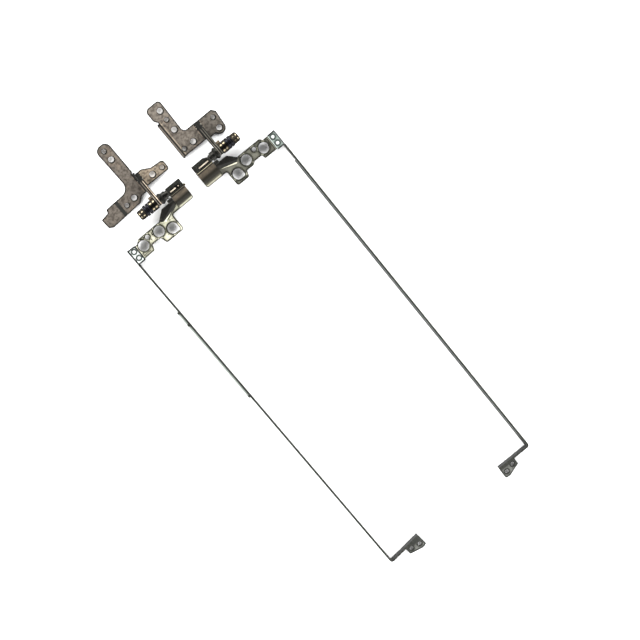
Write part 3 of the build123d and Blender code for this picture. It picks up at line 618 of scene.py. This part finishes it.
def cast_metal(side, varied):
    """Cast lid bracket: plated plate with brighter raised rims and borders painted dark as shade, a black
    neck with a painted highlight on its ramp, and a brown hood.
    """
    tones = LID_TONES[side]
    look = Look(f"cast_metal_{side}", specular=0.12)
    u = look.along(side)
    v = look.across()
    cloud = look.noise(0.4, 4.0, 0.6)
    grain = look.noise(1.5, 4.0, 0.7)
    drift = look.times(look.math("SUBTRACT", cloud, 0.5), DRIFT)

    # The neck is black, and its ramp carries a painted highlight in a wedge along the slanting ridge
    black = look.layer(look.varied(grain, NECK_TONES), NECK_BROWN, u, *NECK_BROWN_U, 0.7)
    raised = look.both(look.above(look.z, LID_TOP + 0.05, soft=0.03), look.below(u, NECK_END_U, soft=0.1))
    tone = look.mix(raised, cast_plate(look, u, v, cloud, grain, tones, varied), black)
    rise, end_u, end_soft = NECK_HIGHLIGHT[side]
    highlight_top = look.math("SUBTRACT", LID_TOP + rise, look.times(u, NECK_HIGHLIGHT_FALL * rise))
    ragged = look.math("ADD", look.z, look.times(drift, NECK_HIGHLIGHT_DRIFT))
    over = look.math("SUBTRACT", ragged, highlight_top)
    painted_highlight = look.both(raised, look.below(over, 0.0, soft=0.06), look.below(u, end_u, soft=end_soft))
    tone = look.mix(painted_highlight, tone, tones["painted_highlight"])
    if varied:
        # On the left bracket the toe of the ramp carries the painted highlight too
        toe = look.both(raised, look.below(look.z, TOE_Z, soft=0.05), look.above(u, TOE_U, soft=0.25))
        tone = look.mix(toe, tone, tones["painted_highlight"])
        # A line of painted shade along the slanting ridge
        start_u, start_v = RIDGE_START
        middle = start_v - start_u * RIDGE_SLOPE
        slanted = look.math("SUBTRACT", v, look.times(u, RIDGE_SLOPE))
        ridge = look.between(slanted, (middle - RIDGE_HALF, middle + RIDGE_HALF), soft=0.1)
        ridge = look.both(ridge, look.between(u, (start_u, RIDGE_END_U), soft=0.2))
        tone = look.mix(ridge, tone, tones["line"])
    shelf = look.both(raised, look.above(v, SHELF_V, soft=0.1), look.above(u, SHELF_U, soft=0.1))
    tone = look.mix(shelf, tone, look.varied(grain, SHELF_TONES))

    hood = look.both(look.above(u, HOOD_U, soft=0.1), look.above(look.z, LID_TOP + 0.1, soft=0.05))
    tone = look.mix(hood, tone, cast_hood(look, v, cloud, drift, tones))

    # Painted shadows as dark crescents at the holes, and painted shade as dark borders on walls and edges
    crescent = look.discs(u, v, LID_HOLES[side], LID_CRESCENT, soft=0.06, shift=LID_SHIFT[side])
    border = look.either(look.steep(0.97, 0.8), look.outline(0.6, 0.95, 0.82))
    border = look.both(border, look.below(look.z, LID_TOP + 0.5, soft=0.1), look.inverse(painted_highlight))
    tone = look.mix(border, tone, tones["line"])
    tone = look.mix(look.both(crescent, look.inverse(raised)), tone, SHADE_BLACK)
    # Painted shade along the lower outer edge and a corner
    if varied:
        corner = look.both(look.above(u, CORNER_U[0], soft=0.1), look.below(v, CORNER_V, soft=0.25))
        edge = look.either(look.below(v, LOWER_EDGE_V, soft=0.1), corner)
        edge = look.both(edge, look.inverse(raised), look.below(u, CORNER_U[1], soft=0.05))
        tone = look.mix(edge, tone, tones["line"])
    look.finish(tone, grain, (0.36, 0.52), metallic=look.ramp(look.z, LID_TOP, LID_TOP + 0.2, 0.45, 0.25))
    look.bump(grain, 0.03)
    return look.material


def rail_steel(side):
    """Dark rail with a paler lip, a grey end tab, and a pale foot with a line or a dark rim."""
    look = Look(f"rail_steel_{side}")
    u = look.along(side)
    v = look.across()
    streak = look.noise(0.6, 3.0, 0.6, (2, 0.12, 2))
    grain = look.noise(1.6, 4.0, 0.7)
    arm = look.below(v, ARM_V, soft=4.5)
    wall = look.mix(arm, look.varied(streak, WALL_TONES), look.varied(grain, ARM_TONES))
    tone = look.mix(look.steep(), look.varied(streak, STRIP_TONES), wall)
    low = look.below(look.z, LIP_Z)
    tone = look.mix(look.both(look.below(u, LIP_U, soft=0.05), low), tone, LIP_TONE)
    tone = look.mix(look.both(look.above(u, LEDGE_U, soft=0.05), low), tone, LEDGE_TONE)

    dull = look.below(v, DULL_V, soft=6.0)
    # Painted shade: dark borders on the walls and edges of the foot and the tab, and on the left foot a dark
    # rim along its edges
    border = look.either(look.steep(0.99, 0.85), look.outline(1.0, 0.985, 0.93))
    foot = look.above(v, FOOT_V, soft=0.2)
    plate = look.mix(border, look.varied(grain, FOOT_TONES[side]), FOOT_BORDER)
    if FOOT_LINES[side]:
        line = look.both(look.between(u, FOOT_LINE_U, soft=0.06), look.between(v, FOOT_LINE_V))
        plate = look.mix(line, plate, FOOT_LINES[side])
    else:
        rim = look.either(look.below(u, FOOT_RIM_U, soft=0.1), look.below(v, FOOT_RIM_V, soft=0.125))
        rim = look.both(rim, foot)
        plate = look.mix(rim, plate, FOOT_BORDER)
        dull = look.either(dull, rim)
    tone = look.mix(foot, tone, plate)

    tab = look.both(look.below(v, TAB_V, soft=0.2), look.below(look.z, TAB_Z, soft=0.1))
    tone = look.mix(tab, tone, look.mix(border, look.varied(grain, TAB_TONES), TAB_BORDER))
    metallic = look.ramp(dull, 0.0, 1.0, 0.4, 0.0)
    look.finish(tone, grain, (0.36, 0.52), metallic, specular=look.ramp(dull, 0.0, 1.0, 0.5, 0.05))
    look.bump(grain, 0.012)
    return look.material


def rivet_steel():
    """Pale rivets with dark rings round their dished heads."""
    look = Look("rivet_steel", metallic=0.3)
    grain = look.noise(1.6, 3.0, 0.7)
    ring = look.either(look.steep(), look.above(look.z, RIVET_RIM_Z, soft=0.05))
    look.finish(look.mix(ring, look.varied(grain, RIVET_TONES), RIVET_RING), grain, (0.3, 0.48))
    look.bump(grain, 0.01)
    return look.material


def paint(node, material):
    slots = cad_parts[node].data.materials
    slots.clear()
    slots.append(material)


bronze_look = bronze()
rivet_look = rivet_steel()
spring_look = dark_steel("spring_steel", (0.006, 0.006, 0.008), (0.035, 0.035, 0.042), 0.26)
black_look = dark_steel("black_steel", (0.008, 0.008, 0.007), (0.05, 0.048, 0.042), 0.3)
washer_look = dark_steel("washer_steel", (0.022, 0.021, 0.018), (0.09, 0.086, 0.074), 0.3)

for side in ("left", "right"):
    looks = {
        "base_bracket": plated_sheet(side, "base"),
        "wing_bracket": plated_sheet(side, "wing"),
        "tab_washer": bronze_look,
        "keyed_washer": bronze_look,
        "lock_nut": plated_nut(side),
        "spring_washers": spring_look,
        "friction_washer": washer_look,
        "stop_washer": black_look,
        "shaft": shaft_steel(side),
        "lid_bracket": cast_metal(side, varied=side == "left"),
        "rail": rail_steel(side),
        "rail_rivets": rivet_look,
    }
    for piece, look in looks.items():
        paint(f"{side}_{piece}", look)


# Floor, sky and camera


def floor():
    mesh = bpy.data.meshes.new("floor")
    half = FLOOR_HALF_M
    corners = [(-half, -half, 0), (half, -half, 0), (half, half, 0), (-half, half, 0)]
    mesh.from_pydata(corners, [], [(0, 1, 2, 3)])
    made = bpy.data.objects.new("floor", mesh)
    bpy.context.scene.collection.objects.link(made)
    material = bpy.data.materials.new("floor")
    material.use_nodes = True
    shader = material.node_tree.nodes["Principled BSDF"]
    shader.inputs["Base Color"].default_value = FLOOR_TONE
    shader.inputs["Roughness"].default_value = 1.0
    shader.inputs["Specular IOR Level"].default_value = 0.0
    mesh.materials.append(material)


def sky():
    """Bright band between a dim horizon and a dim zenith, so that level metal stays dark."""
    world = bpy.data.worlds.new("sky")
    world.use_nodes = True
    tree = world.node_tree

    def node(kind, **values):
        made = tree.nodes.new(kind)
        for key, value in values.items():
            made.inputs[key].default_value = value
        return made

    def times(a, b):
        made = tree.nodes.new("ShaderNodeMath")
        made.operation = "MULTIPLY"
        tree.links.new(a, made.inputs[0])
        tree.links.new(b, made.inputs[1])
        return made.outputs[0]

    split = node("ShaderNodeSeparateXYZ")
    tree.links.new(node("ShaderNodeTexCoord").outputs["Generated"], split.inputs[0])
    low, high = SKY_EDGES
    edges = []
    for start, end in ((low - SKY_SOFT, low + SKY_SOFT), (high + SKY_SOFT, high - SKY_SOFT)):
        edge = node("ShaderNodeMapRange", **{"From Min": start, "From Max": end})
        edge.interpolation_type = "SMOOTHSTEP"
        tree.links.new(split.outputs["Z"], edge.inputs["Value"])
        edges.append(edge.outputs["Result"])
    lean = node("ShaderNodeMapRange", **{
        "From Min": -1.0, "To Min": (SKY_BAND - SKY_REST) * (1 - SKY_LEAN),
        "To Max": (SKY_BAND - SKY_REST) * (1 + SKY_LEAN),
    })
    tree.links.new(split.outputs["Y"], lean.inputs["Value"])
    total = tree.nodes.new("ShaderNodeMath")
    total.inputs[1].default_value = SKY_REST
    tree.links.new(times(times(*edges), lean.outputs["Result"]), total.inputs[0])
    back = tree.nodes["Background"]
    back.inputs["Color"].default_value = (1, 1, 1, 1)
    tree.links.new(total.outputs[0], back.inputs["Strength"])
    bpy.context.scene.world = world


def camera():
    data = bpy.data.cameras.new("camera")
    data.sensor_width = CAMERA_SENSOR
    data.lens = CAMERA_LENS
    data.clip_start, data.clip_end = CAMERA_REACH_M
    made = bpy.data.objects.new("camera", data)
    made.location = tuple(MM * part for part in CAMERA_POS)
    made.rotation_euler = Euler([math.radians(part) for part in CAMERA_TURN], "XYZ")
    bpy.context.scene.collection.objects.link(made)
    bpy.context.scene.camera = made


floor()
sky()
camera()
bpy.context.scene.view_settings.view_transform = "Standard"
